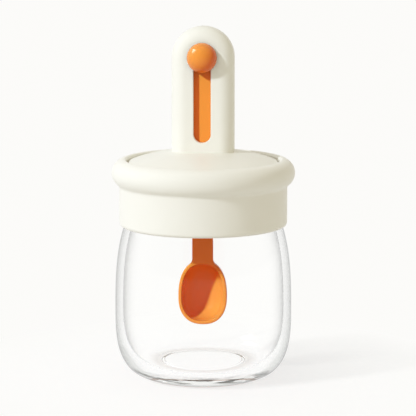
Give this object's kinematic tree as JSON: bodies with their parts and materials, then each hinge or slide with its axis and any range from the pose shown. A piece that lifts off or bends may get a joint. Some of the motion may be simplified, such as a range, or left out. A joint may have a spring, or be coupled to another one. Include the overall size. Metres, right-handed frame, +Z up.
{
  "type": "seasoning jar",
  "caption": "Glass seasoning jar with a screw collar and a lift-out lid whose handle carries a spoon that slides down on a ball knob.",
  "frame": {"origin": "middle of the ring that the jar stands on, at the surface it stands on", "axes": "+Z up the jar's axis to the top of the handle, -Y towards the front, where the slot, the knob and the open side of the spoon's bowl face"},
  "size_m": [0.0854, 0.0854, 0.1642],
  "materials": {
    "clear_glass": "clear pressed glass, polished inside and out",
    "cream_plastic": "moulded warm off-white plastic with a soft satin sheen",
    "natural_plastic": "unpigmented moulded plastic, slightly milky",
    "silicone": "milky food-grade silicone",
    "orange_plastic": "moulded orange plastic with a satin sheen"
  },
  "bodies": {
    "jar": {"glass_jar": "clear_glass"},
    "seal": {"rim_gasket": "silicone"},
    "collar": {"collar_shell": "cream_plastic", "thread_ring": "natural_plastic"},
    "lid": {"lid_shell": "cream_plastic", "lid_base": "natural_plastic", "guide_track": "natural_plastic", "plug_seal": "silicone", "stem_wiper": "silicone"},
    "spoon": {"spoon": "orange_plastic", "slide_knob": "orange_plastic", "brake_pad": "silicone"}
  },
  "joints": [
    {"name": "collar_rise", "type": "slide", "parent": "jar", "child": "seal", "axis": [0, 0, 1], "range_m": [0, 0.004]},
    {"name": "collar_turn", "type": "hinge", "parent": "seal", "child": "collar", "pos_m": [0, 0, 0.086], "axis": [0, 0, 1], "range_deg": [0, 360]},
    {"name": "lid_lift", "type": "slide", "parent": "collar", "child": "lid", "axis": [0, 0, 1], "range_m": [0, 0.12]},
    {"name": "spoon_slide", "type": "slide", "parent": "lid", "child": "spoon", "axis": [0, 0, -1], "range_m": [0, 0.019]}
  ],
  "couplings": [
    {"joint": "collar_rise", "follows": "collar_turn", "m_per_rad": 0.00063662}
  ]
}
